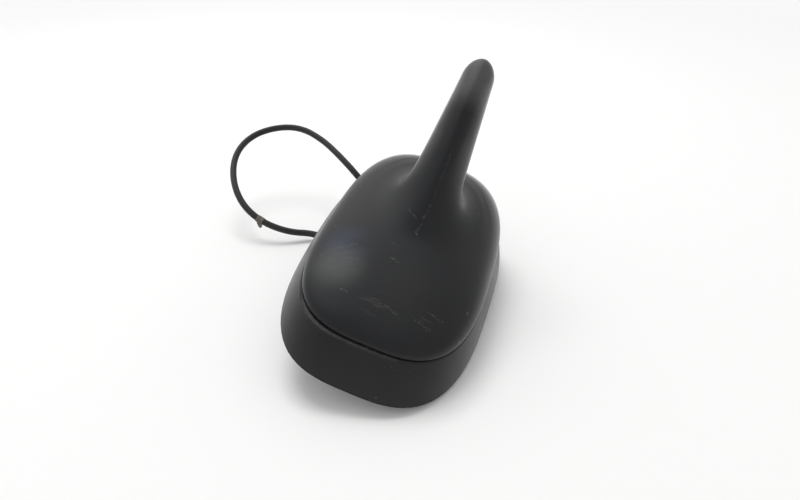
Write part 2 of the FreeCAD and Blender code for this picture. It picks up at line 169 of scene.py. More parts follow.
def makeMarkLine():
    # a scratch from one point to another
    tree, take, give = newGroup(
        "markLine",
        [("Shaken", "Vector", None), ("Grit", "Float", 0.5), ("From", "Vector", None), ("To", "Vector", None),
         ("Width", "Float", 0.0004), ("Break", "Float", 0.45), ("Depth", "Float", 1.0)],
        [("Mask", "Float")])
    start = take.outputs["From"]
    run = addNode(tree, "VectorMath", {0: take.outputs["To"], 1: start}, operation="SUBTRACT")
    reach = addNode(tree, "VectorMath", {0: take.outputs["Shaken"], 1: start}, operation="SUBTRACT")
    covered = addNode(tree, "VectorMath", {0: reach.outputs["Vector"], 1: run.outputs["Vector"]},
                      operation="DOT_PRODUCT")
    size = addNode(tree, "VectorMath", {0: run.outputs["Vector"], 1: run.outputs["Vector"]},
                   operation="DOT_PRODUCT")
    share = addNode(tree, "Math", {0: covered.outputs["Value"], 1: size.outputs["Value"]},
                    operation="DIVIDE", use_clamp=True)
    along = addNode(tree, "VectorMath", {0: run.outputs["Vector"], "Scale": share.outputs["Value"]},
                    operation="SCALE")
    away = addNode(tree, "VectorMath", {0: reach.outputs["Vector"], 1: along.outputs["Vector"]},
                   operation="DISTANCE")
    near = addNode(tree, "MapRange", {"Value": away.outputs["Value"], "From Min": take.outputs["Width"],
                                      "To Max": take.outputs["Depth"]},
                   {"From Max": 0.0}, interpolation_type="SMOOTHSTEP")
    gaps = addNode(tree, "MapRange", {"Value": take.outputs["Grit"], "From Min": take.outputs["Break"]},
                   {"From Max": patternSet["gritFull"]})
    tree.links.new(times(tree, near.outputs["Result"], gaps.outputs["Result"]), give.inputs["Mask"])
    return tree


def makeScuffPatch():
    # a rubbed place: streaks inside a soft-edged ball
    tree, take, give = newGroup(
        "scuffPatch",
        [("Vector", "Vector", None), ("Centre", "Vector", None), ("Reach", "Float", 0.008),
         ("Turn", "Vector", (0, 0, 0)), ("Stretch", "Vector", (120.0, 700.0, 500.0)), ("Cut", "Float", 0.52)],
        [("Mask", "Float")])
    away = addNode(tree, "VectorMath", {0: take.outputs["Vector"], 1: take.outputs["Centre"]},
                   operation="DISTANCE")
    inside = addNode(tree, "MapRange", {"Value": away.outputs["Value"], "From Min": take.outputs["Reach"]},
                     {"From Max": 0.0}, interpolation_type="SMOOTHSTEP")
    lay = addNode(tree, "Mapping", {"Vector": take.outputs["Vector"], "Rotation": take.outputs["Turn"],
                                    "Scale": take.outputs["Stretch"]})
    streak = addNode(tree, "TexNoise", {"Vector": lay.outputs["Vector"]},
                     {"Scale": 1.0, "Detail": 4.0, "Roughness": 0.65, "Distortion": 0.3})
    cut = addNode(tree, "MapRange", {"Value": streak.outputs["Fac"], "From Min": take.outputs["Cut"]},
                  {"From Max": patternSet["streakFull"]})
    tree.links.new(times(tree, inside.outputs["Result"], cut.outputs["Result"]), give.inputs["Mask"])
    return tree


def makeDustSpecks():
    # scattered pale specks
    tree, take, give = newGroup(
        "dustSpecks",
        [("Vector", "Vector", None), ("Scale", "Float", 420.0), ("Amount", "Float", 0.5)],
        [("Mask", "Float")])
    cell = addNode(tree, "TexVoronoi", {"Vector": take.outputs["Vector"], "Scale": take.outputs["Scale"]},
                   {"Randomness": 1.0})
    dot = addNode(tree, "MapRange", {"Value": cell.outputs["Distance"]},
                  {"From Min": patternSet["speckEdge"], "From Max": patternSet["speckCore"]})
    drift = addNode(tree, "TexNoise", {"Vector": take.outputs["Vector"]},
                    {"Scale": patternSet["driftScale"], "Detail": 3.0})
    where = addNode(tree, "MapRange", {"Value": drift.outputs["Fac"], "From Min": take.outputs["Amount"]},
                    {"From Max": patternSet["driftFull"]})
    tree.links.new(times(tree, dot.outputs["Result"], where.outputs["Result"]), give.inputs["Mask"])
    return tree


mouldGrain = makeMouldGrain()
wearNoise = makeWearNoise()
markLine = makeMarkLine()
scuffPatch = makeScuffPatch()
dustSpecks = makeDustSpecks()
print("node groups made")


def addGroup(tree, group, links, values=None):
    return addNode(tree, "Group", links, values, node_tree=group)


def startFinish(name):
    finish = bpy.data.materials.new(name)
    finish.use_nodes = True
    tree = finish.node_tree
    shader = tree.nodes["Principled BSDF"]
    place = tree.nodes.new("ShaderNodeTexCoord").outputs["Object"]
    return finish, tree, shader, place


def mixColour(tree, amount, first, second):
    amountIn, firstIn, secondIn, mixedOut = 0, 6, 7, 2  # the Mix node's sockets for colour
    made = addNode(tree, "Mix", {amountIn: amount}, {secondIn: (*second, 1.0)}, data_type="RGBA")
    if isinstance(first, tuple):
        made.inputs[firstIn].default_value = (*first, 1.0)
    else:
        tree.links.new(first, made.inputs[firstIn])
    return made.outputs[mixedOut]


def addMottle(tree, place, grain, cloud):
    # puts out the grain's height and the cloudy change
    mottle = addGroup(tree, mouldGrain, {"Vector": place}, {"Grain Scale": grain, "Cloud Scale": cloud})
    return mottle.outputs["Height"], mottle.outputs["Cloud"]


def spread(tree, source, low, high):
    # a mask from 0 to 1, set to run from low to high
    return addNode(tree, "MapRange", {"Value": source}, {"To Min": low, "To Max": high}).outputs["Result"]


def addBump(tree, height, strength, depth):
    made = addNode(tree, "Bump", {"Height": height}, {"Strength": strength, "Distance": depth * mm})
    return made.outputs["Normal"]


def plainFinish(name, dark, light, rough, metal=0.0, grain=1500.0, depth=0.02, cloud=60.0, strength=0.4):
    finish, tree, shader, place = startFinish(name)
    height, cloudy = addMottle(tree, place, grain, cloud)
    tree.links.new(mixColour(tree, cloudy, dark, light), shader.inputs["Base Color"])
    tree.links.new(spread(tree, cloudy, *rough), shader.inputs["Roughness"])
    tree.links.new(addBump(tree, height, strength, depth), shader.inputs["Normal"])
    shader.inputs["Metallic"].default_value = metal
    return finish


def dress(node, finish):
    nodes[node].data.materials.clear()
    nodes[node].data.materials.append(finish)


# Outlines shared by cover and skirt, in millimetres
shellSet = {
    "ringPoints": 128,
    "baseHalfWidth": 35.0,
    "baseHalfLength": 57.0,
    "frontSquare": 3.1,
    "rearSquare": 2.87,
    "baseWidening": 0.045,
    "insetFront": 9.0,
    "insetRear": 5.2,
    "insetSide": 4.2,
    "lineFront": 12.7,
    "lineRear": 10.4,
    "evenOut": 0.8,
    "weld": 0.001,
}


def ringTurns():
    step = np.arange(shellSet["ringPoints"]) * 2 * math.pi / shellSet["ringPoints"]
    return step - shellSet["evenOut"] * np.sin(4 * step) / 4


turns = ringTurns()
lineStart = -shellSet["baseHalfLength"] + shellSet["insetFront"]
lineEnd = shellSet["baseHalfLength"] - shellSet["insetRear"]
lineMiddle = (lineStart + lineEnd) / 2
lineHalfLength = (lineEnd - lineStart) / 2
lineHalfWidth = shellSet["baseHalfWidth"] - shellSet["insetSide"]
lineHeight = (shellSet["lineFront"] + shellSet["lineRear"]) / 2
lineSlope = (shellSet["lineRear"] - shellSet["lineFront"]) / (lineEnd - lineStart)


def outlineRow(centre, tilt, halfWidth, halfLength, frontSquare, rearSquare, widening=0.0, lag=0.0):
    # lag is how far the widest place lies behind the middle
    wide, long = np.cos(turns), np.sin(turns)
    square = 2 / np.where(long < 0, frontSquare, rearSquare)
    wide = np.sign(wide) * np.abs(wide) ** square
    long = np.sign(long) * np.abs(long) ** square
    x = halfWidth * wide * (1 + widening * long)
    away = lag + np.where(long < 0, halfLength + lag, halfLength - lag) * long
    y = centre[0] + away * math.cos(tilt)
    z = centre[1] - away * math.sin(tilt)
    return np.stack([x, y, z], axis=1)


def lineRow(inset, height, slope=0.0, share=1.0):
    # the parting line's outline, set in and then to a share of its size
    tilt = -math.atan(slope)
    return outlineRow((lineMiddle, height), tilt, (lineHalfWidth - inset) * share,
                      (lineHalfLength - inset) * share / math.cos(tilt),
                      shellSet["frontSquare"], shellSet["rearSquare"])


def drawRows(name, rows):
    # a circle, extruded ring by ring, each ring set to its row
    deselectAll()
    bpy.ops.mesh.primitive_circle_add(vertices=len(turns), radius=lineHalfWidth * mm, fill_type="NOTHING")
    piece = bpy.context.object
    piece.name = name
    piece.data.name = name
    bpy.ops.object.mode_set(mode="EDIT")
    bpy.ops.mesh.select_mode(type="EDGE")
    bpy.ops.mesh.select_all(action="SELECT")
    shape = bmesh.from_edit_mesh(piece.data)
    order = shape.verts.layers.int.new("order")
    for i, vert in enumerate(shape.verts):
        vert[order] = i
    for count, row in enumerate(rows):
        if count:
            bpy.ops.mesh.extrude_region_move()
        shape = bmesh.from_edit_mesh(piece.data)
        order = shape.verts.layers.int["order"]
        for vert in shape.verts:
            if vert.select:
                vert.co = Vector(row[vert[order]]) * mm
        bmesh.update_edit_mesh(piece.data)
    bpy.ops.mesh.select_all(action="SELECT")
    bpy.ops.mesh.remove_doubles(threshold=shellSet["weld"] * mm)
    bpy.ops.mesh.normals_make_consistent(inside=False)
    bpy.ops.object.mode_set(mode="OBJECT")
    piece.data.attributes.remove(piece.data.attributes["order"])
    return piece


def applyModifiers(piece):
    pick(piece)
    for modifier in list(piece.modifiers):
        bpy.ops.object.modifier_apply(modifier=modifier.name)


def smoothBy(piece, angle):
    pick(piece)
    bpy.ops.object.shade_smooth_by_angle(angle=math.radians(angle))


# Cover: dome and mast in one skin, in millimetres and degrees
coverSet = {
    "domeHeight": 14.0,
    "domeSquare": 2.36,
    "domeRise": 0.096,
    "domeEnd": 40.0,
    "domeRows": 20,
    "topRows": 16,
    "lean": 42.0,
    "rootY": 6.3,
    "rootZ": 25.1,
    "length": 57.6,
    "rootHalfWidth": 10.4,
    "rootHalfDepth": 8.4,
    "tipHalfWidth": 5.9,
    "tipHalfDepth": 5.7,
    "keel": 1.6,
    "widestBack": 0.5,
    "rearSquare": 2.0,
    "tipRound": 7.5,
    "tipSlope": 15.0,
    "tipRows": 10,
    "fillet": 7.0,
    "footFront": 0.45,
    "footRear": 2.0,
    "footLikeness": 0.6,
    "footRows": 13,
    "levelOut": 24.0,
    "stemRows": 32,
    "softFloor": 22.0,
    "softFactor": 0.5,
    "softRounds": [  # reach, height, distance from the middle and passes of the smoothing
        (18.0, 30.0, 4.5, 40),
        (26.0, 26.0, 0.0, 12),
        (22.0, 20.0, 0.0, 14),
        (18.0, 14.0, 0.0, 10),
    ],
    "tongueInset": 1.4,
    "tongueBottom": 5.6,
    "lipInset": 0.4,
    "lipEdgeInset": 0.1,
    "lipEdgeRise": 0.12,
    "wall": 2.2,
    "smoothAngle": 38.0,
}
lean = math.radians(coverSet["lean"])
shoulder = coverSet["length"] - coverSet["tipRound"]


def domeLevel(lift):
    top = lineHeight + coverSet["domeHeight"] + coverSet["domeRise"] * lineMiddle
    return lineHeight * (1 - lift) + top * lift, coverSet["domeRise"] * lift


def domeRow(angle):
    share = math.cos(angle) ** (2 / coverSet["domeSquare"])
    lift = math.sin(angle) ** (2 / coverSet["domeSquare"])
    height, slope = domeLevel(lift)
    return lineRow(0.0, height, slope + lineSlope / share * (1 - lift), share)


def onDome(row, rise=0.0):
    # the same points, set on the dome or at a height above it
    square = np.where(row[:, 1] < lineMiddle, shellSet["frontSquare"], shellSet["rearSquare"])
    aside = np.abs(row[:, 0]) / lineHalfWidth
    ahead = np.abs(row[:, 1] - lineMiddle) / lineHalfLength
    share = (aside ** square + ahead ** square) ** (1 / square)
    lift = (1 - share ** coverSet["domeSquare"]) ** (1 / coverSet["domeSquare"])
    height, slope = domeLevel(lift)
    slope = slope + lineSlope / share * (1 - lift)
    return np.stack([row[:, 0], row[:, 1], height + slope * (row[:, 1] - lineMiddle) + rise], axis=1)


def mastRow(distance, widthShare=1.0, depthShare=1.0, flare=0.0, foot=0.0):
    s = coverSet
    taper = min(distance, shoulder) / shoulder
    halfWidth = s["rootHalfWidth"] + (s["tipHalfWidth"] - s["rootHalfWidth"]) * taper
    halfDepth = s["rootHalfDepth"] + (s["tipHalfDepth"] - s["rootHalfDepth"]) * taper
    level = min(1.0, distance / s["levelOut"])
    domeTilt = -math.atan(s["domeRise"])
    tilt = domeTilt + (lean - domeTilt) * level * level * (3 - 2 * level)
    likeness = s["footLikeness"] * foot
    # the ridge fades out at the tip
    keel = s["keel"] + (s["rearSquare"] - s["keel"]) * (1 - depthShare ** 2)
    front = keel + (shellSet["frontSquare"] - keel) * likeness
    rear = s["rearSquare"] + (shellSet["rearSquare"] - s["rearSquare"]) * likeness
    halfLength = halfDepth * depthShare / math.cos(lean - tilt)
    toFront = halfLength + flare * s["footFront"]
    toRear = halfLength + flare * s["footRear"]
    shift = (toRear - toFront) / 2
    centre = (s["rootY"] + math.sin(lean) * distance + math.cos(tilt) * shift,
              s["rootZ"] + math.cos(lean) * distance - math.sin(tilt) * shift)
    return outlineRow(centre, tilt, halfWidth * widthShare + flare, (toFront + toRear) / 2, front, rear,
                      lag=s["widestBack"] * level * halfLength)


def roundOff(left, length):
    # share of the full size that is left near a rounded end
    return math.sqrt(1 - (1 - min(1.0, left / length)) ** 2)


def footRow(angle):
    # a ring of the fillet, from level with the dome to along the mast
    step = 1 - math.cos(angle)
    rise = coverSet["fillet"] * step
    section = mastRow(rise / math.cos(lean), flare=coverSet["fillet"] * (1 - math.sin(angle)), foot=1 - step)
    return onDome(section, rise) * (1 - step) + section * step


def coverRows():
    s = coverSet
    lip = [
        lineRow(s["tongueInset"], s["tongueBottom"]),
        lineRow(s["tongueInset"], lineHeight, lineSlope),
        lineRow(s["lipInset"], lineHeight, lineSlope),
        lineRow(s["lipEdgeInset"], lineHeight + s["lipEdgeRise"], lineSlope),
    ]
    rows = [domeRow(angle) for angle in np.linspace(0, math.radians(s["domeEnd"]), s["domeRows"])]
    edge, foot = rows[-1], footRow(0.0)
    for share in np.linspace(0, 1, s["topRows"])[1:-1]:
        rows.append(onDome(edge * (1 - share) + foot * share))
    rows += [footRow(angle) for angle in np.linspace(0, math.pi / 2, s["footRows"])]
    footTop = s["fillet"] / math.cos(lean)
    distances = list(np.linspace(footTop, shoulder, s["stemRows"])[1:])
    tipAngles = np.linspace(0, math.pi / 2, s["tipRows"])[1:-1]
    distances += [shoulder + s["tipRound"] * math.sin(angle) for angle in tipAngles]
    for distance in distances:
        left = s["length"] - distance
        rows.append(mastRow(distance, roundOff(left, s["tipRound"]), roundOff(left, s["tipSlope"])))
    tip = [0.0, s["rootY"] + math.sin(lean) * s["length"], s["rootZ"] + math.cos(lean) * s["length"]]
    return lip + rows[1:] + [np.array([tip] * len(turns))]


def softenFoot(cover):
    # smooth the skin round the mast's foot
    s = coverSet
    axis = Vector((0.0, math.sin(lean), math.cos(lean)))
    root = Vector((0.0, s["rootY"], s["rootZ"])) * mm
    pick(cover)
    bpy.ops.object.mode_set(mode="EDIT")
    bpy.ops.mesh.select_mode(type="VERT")
    for reach, top, aside, passes in s["softRounds"]:
        bpy.ops.mesh.select_all(action="DESELECT")
        shape = bmesh.from_edit_mesh(cover.data)
        for vert in shape.verts:
            climb = (vert.co - root).dot(axis)
            off = (vert.co - root - axis * climb).length
            near = off < reach * mm and climb < top * mm and abs(vert.co.x) > aside * mm
            vert.select = near and vert.co.z > s["softFloor"] * mm
        shape.select_flush_mode()
        bmesh.update_edit_mesh(cover.data)
        bpy.ops.mesh.vertices_smooth(factor=s["softFactor"], repeat=passes)
    bpy.ops.object.mode_set(mode="OBJECT")


def makeCover():
    cover = drawRows("coverSkin", coverRows())
    softenFoot(cover)
    wall = cover.modifiers.new("wall", "SOLIDIFY")
    wall.thickness = coverSet["wall"] * mm
    wall.offset = -1.0
    applyModifiers(cover)
    smoothBy(cover, coverSet["smoothAngle"])
    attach(cover, "root")
    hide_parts("antenna_cover")
    return cover


cover = makeCover()
print("cover made:", len(cover.data.polygons), "faces")

# Skirt: flared rubber below the parting line, in millimetres
skirtSet = {
    "ledge": 0.1,
    "ledgeSwell": 1.5,
    "gap": 0.24,
    "webInset": 8.5,
    "webThickness": 1.5,
    "pocketInset": 1.15,
    "belly": 0.35,
    "sag": 0.06,
    "sagTurn": -1.88,
    "sagSpread": 0.5,
    "lowSteps": [  # share of the wall's height, outward and upward move of each row
        (0.0, -1.2, 0.0),
        (0.0, -0.45, 0.04),
        (0.0, -0.12, 0.22),
        (0.05, 0.0, 0.0),
    ],
    "bellySteps": [0.1, 0.2, 0.3, 0.4, 0.5, 0.6, 0.7, 0.8, 0.88, 0.93],
    "highSteps": [
        (0.965, 0.05, 0.0),
        (0.99, -0.02, 0.0),
        (1.0, -0.2, 0.03),
    ],
    "ledgeSteps": [  # inset and upward move
        (0.2, 0.03),
        (0.75, 0.0),
        (1.0, -0.4),
    ],
    "pocketDrop": 3.0,
    "smoothAngle": 40.0,
}


def skirtRows():
    s = skirtSet
    foot = outlineRow((0.0, 0.0), 0.0, shellSet["baseHalfWidth"], shellSet["baseHalfLength"],
                      shellSet["frontSquare"], shellSet["rearSquare"], shellSet["baseWidening"])
    outward = foot[:, :2] / np.linalg.norm(foot[:, :2], axis=1)[:, None]
    outward = np.concatenate([outward, np.zeros((len(foot), 1))], axis=1)
    off = np.angle(np.exp(1j * (turns - s["sagTurn"])))
    loose = np.exp(-(off / s["sagSpread"]) ** 2)[:, None]  # where the rim stands off the cover
    edge = lineRow(0.0, lineHeight - s["gap"], lineSlope)
    edge += outward * (s["ledge"] + s["ledgeSwell"] * loose) - loose * (0.0, 0.0, s["sag"])

    def wallRow(height, out, up=0.0):
        row = foot * (1 - height) + edge * height + outward * out
        row[:, 2] += up
        return row

    def ledgeRow(inset, up):
        # on the rim's flat top, under the edge of the cover
        row = lineRow(inset, lineHeight - s["gap"] + up, lineSlope)
        return row - loose * (0.0, 0.0, s["sag"])

    rows = [lineRow(s["webInset"], s["webThickness"]), lineRow(s["webInset"], 0.0)]
    rows += [wallRow(*step) for step in s["lowSteps"]]
    rows += [wallRow(height, s["belly"] * math.sin(math.pi * height)) for height in s["bellySteps"]]
    rows += [wallRow(*step) for step in s["highSteps"]]
    rows += [ledgeRow(*step) for step in s["ledgeSteps"]]
    rows.append(lineRow(s["pocketInset"], lineHeight - s["pocketDrop"], lineSlope))
    rows.append(lineRow(s["pocketInset"], s["webThickness"]))
    return rows + rows[:1]


def makeSkirt():
    skirt = drawRows("skirtWall", skirtRows())
    smoothBy(skirt, skirtSet["smoothAngle"])
    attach(skirt, "root")
    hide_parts("rubber_skirt")
    return skirt


skirt = makeSkirt()
print("skirt made:", len(skirt.data.polygons), "faces")

# Lead: route points in metres, as in the part's source, with small moves towards the photograph
leadSet = {
    "radius": 0.00145,
    "length": 0.24,
    "order": 3,
    "stretchSteps": 12,
    "roundSteps": 5,
    "route": [
        (0.0025, 0.0, -0.0075), (0.0025, 0.0, -0.0113), (0.0005, 0.00145, -0.0144),
        (-0.0047, 0.00515, -0.0162), (-0.0145, 0.0145, -0.0193), (-0.0285, 0.0265, -0.025),
        (-0.0435, 0.034, -0.0304), (-0.055, 0.0278, -0.0305), (-0.0683, 0.0266, -0.0294),
        (-0.0799, 0.0307, -0.027), (-0.0897, 0.0413, -0.0247), (-0.0958, 0.0552, -0.0222),
        (-0.0947, 0.0682, -0.0192), (-0.0862, 0.0761, -0.0149), (-0.0745, 0.079, -0.0114),
        (-0.061, 0.0745, -0.0102), (-0.048, 0.066, -0.0098), (-0.038, 0.0605, -0.0115),
        (-0.03, 0.0596, -0.0166), (-0.0215, 0.0608, -0.0208), (-0.01, 0.0626, -0.0202),
    ],
}


def makeLead():
    line = bpy.data.curves.new("freeLead", "CURVE")
    line.dimensions = "3D"
    line.resolution_u = leadSet["stretchSteps"]
    line.bevel_depth = 1.0  # times each point's own radius
    line.bevel_resolution = leadSet["roundSteps"]
    line.use_fill_caps = True
    run = line.splines.new("NURBS")
    run.points.add(len(leadSet["route"]) - 1)
    for point, place in zip(run.points, leadSet["route"]):
        point.co = (*place, 1.0)
        point.radius = leadSet["radius"]
    run.order_u = leadSet["order"]
    run.use_endpoint_u = True
    lead = bpy.data.objects.new("freeLead", line)
    scene.collection.objects.link(lead)
    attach(lead, "root")
    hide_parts("coax_cable")
    return lead


lead = makeLead()
print("lead laid")

# Scrap of old tape that hangs on the lead, in metres
tapeSet = {
    "middle": (-0.0681, 0.02726, -0.02924),
    "along": (-0.983, 0.115, 0.138),
    "down": (0.287, -0.126, -0.9495),
    "width": 0.0032,
    "radius": 0.00153,
    "sides": 14,
    "tail": 0.0026,
    "tailCuts": 4,
    "tailSteps": [  # share of the tail's length, and how far it narrows
        (0.6, 0.75),
        (0.4, 0.4),
    ],
    "thickness": 0.00012,
    "smoothAngle": 50.0,
}


def makeTape():
    along = Vector(tapeSet["along"]).normalized()
    down = Vector(tapeSet["down"])
    turn = along.to_track_quat("Z", "X").to_matrix().to_4x4()
    deselectAll()
    bpy.ops.mesh.primitive_cylinder_add(vertices=tapeSet["sides"], radius=tapeSet["radius"],
                                        depth=tapeSet["width"], end_fill_type="NOTHING")
    tape = bpy.context.object
    tape.name = "tapeScrap"
    tape.data.name = "tapeScrap"
    tape.data.transform(Matrix.Translation(tapeSet["middle"]) @ turn)
    bpy.ops.object.mode_set(mode="EDIT")
    bpy.ops.mesh.select_mode(type="EDGE")
    bpy.ops.mesh.select_all(action="DESELECT")
    shape = bmesh.from_edit_mesh(tape.data)
    half = tapeSet["width"] / 2
    runs = [edge for edge in shape.edges if abs((edge.verts[0].co - edge.verts[1].co).dot(along)) > half]
    lowest = max(runs, key=lambda edge: (edge.verts[0].co + edge.verts[1].co).dot(down))
    lowest.select = True
    bmesh.update_edit_mesh(tape.data)
    bpy.ops.mesh.subdivide(number_cuts=tapeSet["tailCuts"])
    for share, narrow in tapeSet["tailSteps"]:
        bpy.ops.mesh.extrude_edges_move(TRANSFORM_OT_translate={"value": down * tapeSet["tail"] * share})
        bpy.ops.transform.resize(value=(narrow, narrow, narrow))
    bpy.ops.object.mode_set(mode="OBJECT")
    wall = tape.modifiers.new("wall", "SOLIDIFY")
    wall.thickness = tapeSet["thickness"]
    wall.offset = 1.0
    applyModifiers(tape)
    smoothBy(tape, tapeSet["smoothAngle"])
    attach(tape, "root")
    return tape


tape = makeTape()
print("tape scrap made")

# Thread on the hollow stud, in metres
threadSet = {
    "radius": 0.0069,
    "ridge": 0.00042,
    "pitch": 0.0015,
    "turns": 4,
    "steps": 64,
    "bottom": -0.0069,
    "smoothAngle": 35.0,
}


def makeThread():
    t = threadSet
    deselectAll()
    bpy.ops.mesh.primitive_circle_add(vertices=3, radius=t["ridge"], fill_type="NOTHING",
                                      location=(t["radius"], 0, t["bottom"]),
                                      rotation=(math.pi / 2, -math.pi / 2, 0))
    thread = bpy.context.object
    thread.name = "studThread"
    thread.data.name = "studThread"
    bpy.ops.object.transform_apply(location=True, rotation=True, scale=True)
    wind = thread.modifiers.new("wind", "SCREW")
    wind.axis = "Z"
    wind.screw_offset = t["pitch"]
    wind.iterations = t["turns"]
    wind.steps = t["steps"]
    wind.render_steps = t["steps"]
    applyModifiers(thread)
    bpy.ops.object.mode_set(mode="EDIT")
    bpy.ops.mesh.select_all(action="SELECT")
    bpy.ops.mesh.fill_holes(sides=0)
    bpy.ops.mesh.normals_make_consistent(inside=False)
    bpy.ops.object.mode_set(mode="OBJECT")
    smoothBy(thread, t["smoothAngle"])
    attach(thread, "root")
    return thread


thread = makeThread()
print("stud thread cut:", len(thread.data.polygons), "faces")

# Finish of the cover: satin black moulding with scratches, a painted blue sky reflection, a painted highlight
# on the dome and a painted highlight towards the mast tip, in millimetres
coverMarks = {  # from, to, width, where it breaks up and depth
    "ridgeHigh": ((1.5, 16.4, 46.5), (1.6, 2.3, 32.1), 0.55, 0.50, 0.35),
    "ridgeMiddle": ((1.6, 2.3, 32.1), (1.1, -1.6, 28.9), 0.60, 0.42, 0.6),
    "ridgeLow": ((1.3, -3.2, 27.6), (0.6, -6.8, 25.5), 0.70, 0.42, 0.9),
    "arcLow": ((-24.7, -25.6, 18.4), (-20.8, -21.6, 20.7), 0.50, 0.40, 0.55),
    "arcHigh": ((-20.8, -21.6, 20.7), (-16.1, -18.4, 22.3), 0.60, 0.42, 0.6),
    "footLeft": ((-4.8, -0.2, 29.0), (-1.5, -2.2, 28.5), 0.45, 0.35, 0.8),
    "footRight": ((15.1, 5.9, 25.0), (18.5, 19.0, 24.6), 0.35, 0.40, 0.5),
    "domeTick": ((-3.6, -18.9, 23.1), (-1.0, -19.7, 23.0), 0.45, 0.35, 0.9),
    "domeFaint": ((-6.2, -12.9, 24.0), (-3.4, -13.7, 23.8), 0.45, 0.42, 0.35),
    "patchLow": ((-23.0, -27.4, 18.6), (-14.5, -25.9, 21.2), 0.45, 0.42, 0.6),
    "patchHigh": ((-20.5, -24.6, 20.1), (-13.0, -23.7, 22.0), 0.40, 0.44, 0.5),
    "lowFirst": ((-13.8, -36.0, 19.0), (-11.2, -36.6, 19.1), 0.50, 0.38, 0.6),
    "lowSecond": ((-6.3, -36.6, 19.3), (-3.8, -36.3, 19.5), 0.45, 0.38, 0.5),
    "lowThird": ((-3.6, -36.3, 19.5), (-2.7, -38.6, 19.1), 0.40, 0.40, 0.45),
    "lowLong": ((-0.6, -35.9, 19.6), (5.2, -37.2, 19.2), 0.75, 0.44, 0.5),
    "ringFar": ((10.3, -36.3, 19.3), (15.9, -37.6, 18.3), 0.60, 0.46, 0.4),
    "ringNear": ((13.9, -32.3, 20.0), (19.0, -33.0, 18.9), 0.60, 0.44, 0.5),
    "sideDot": ((25.5, -24.3, 18.2), (25.9, -25.0, 18.0), 0.50, 0.30, 0.5),
    "rimChip": ((25.9, -33.2, 14.9), (26.4, -34.0, 14.4), 0.45, 0.10, 1.6),
    "leftSpeck": ((-25.6, -11.9, 19.8), (-25.4, -11.5, 19.9), 0.40, 0.10, 1.2),
}
coverScuffs = {
    "rubbed": {"Centre": (-17.0, -25.8, 20.9), "Reach": 9.5, "Turn": 0.5, "Cut": 0.50, "depth": 0.55},
    "lowRow": {"Centre": (-2.0, -36.6, 19.4), "Reach": 8.0, "Turn": 1.2, "Cut": 0.55, "depth": 0.45},
    "ring": {"Centre": (14.8, -35.0, 19.1), "Reach": 5.0, "Turn": 0.9, "Cut": 0.52, "depth": 0.40},
    "footSide": {"Centre": (10.0, 14.8, 31.0), "Reach": 6.0, "Turn": 1.0, "Cut": 0.55, "depth": 0.30},
}
coverLook = {
    "grainScale": 1700.0,
    "cloudScale": 45.0,
    "grainStrength": 0.25,
    "grainDepth": 0.02,
    "scoreStrength": 0.5,
    "scoreDepth": 0.06,
    "dustScale": 700.0,
    "dustFrom": 0.5,
    "dustDepth": 0.22,
    "dark": (0.0047, 0.0053, 0.0067),
    "light": (0.0074, 0.0077, 0.0084),
    "worn": (0.095, 0.095, 0.093),
    # painted reflection: blue sky on the dome's left shoulder
    "skyReflection": (0.029, 0.041, 0.075),
    "skyReflectionCentre": (-18.5, -19.0, 21.6),
    "skyReflectionReach": 12.0,
    # painted highlight: a soft pale patch on the dome's left front
    "shoulderHighlight": (0.062, 0.064, 0.064),
    "shoulderHighlightCentre": (-18.4, -28.0, 20.1),
    "shoulderHighlightReach": 13.0,
    "shoulderHighlightFull": 0.8,
    # painted highlight: the mast lighter towards its tip
    "tipHighlight": (0.072, 0.071, 0.075),
    "tipFrom": 36.0,
    "tipFull": 46.0,
    "tipWeak": 0.55,
    "tipStrong": 0.9,
    "roughLow": 0.32,
    "roughHigh": 0.40,
    "roughMast": 0.22,
    "roughWorn": 0.55,
    "gloss": 0.22,
}


def inMetres(place):
    return tuple(value * mm for value in place)


def highest(tree, masks):
    # the strongest of several masks
    top = masks[0]
    for mask in masks[1:]:
        top = addNode(tree, "Math", {0: top, 1: mask}, operation="MAXIMUM").outputs["Value"]
    return top


def markMasks(tree, place, marks):
    noise = addGroup(tree, wearNoise, {"Vector": place})
    masks = []
    for start, end, width, broken, depth in marks.values():
        mark = addGroup(tree, markLine, {"Shaken": noise.outputs["Shaken"], "Grit": noise.outputs["Grit"]},
                        {"From": inMetres(start), "To": inMetres(end), "Width": width * mm, "Break": broken,
                         "Depth": depth})
        masks.append(mark.outputs["Mask"])
    return masks


def scuffMasks(tree, place, scuffs):
    masks = []
    for scuff in scuffs.values():
        patch = addGroup(tree, scuffPatch, {"Vector": place},
                         {"Centre": inMetres(scuff["Centre"]), "Reach": scuff["Reach"] * mm,
                          "Turn": (0.0, 0.0, scuff["Turn"]), "Cut": scuff["Cut"]})
        masks.append(times(tree, patch.outputs["Mask"], scuff["depth"]))
    return masks


def thinDust(tree, place, look):
    dust = addGroup(tree, dustSpecks, {"Vector": place},
                    {"Scale": look["dustScale"], "Amount": look["dustFrom"]})
    return times(tree, dust.outputs["Mask"], look["dustDepth"])


def nearTo(tree, place, centre, reach, full=1.0):
    # a soft round patch
    away = addNode(tree, "VectorMath", {0: place}, {1: inMetres(centre)}, operation="DISTANCE")
    near = addNode(tree, "MapRange", {"Value": away.outputs["Value"]},
                   {"From Min": reach * mm, "From Max": 0.0, "To Max": full},
                   interpolation_type="SMOOTHERSTEP")
    return near.outputs["Result"]


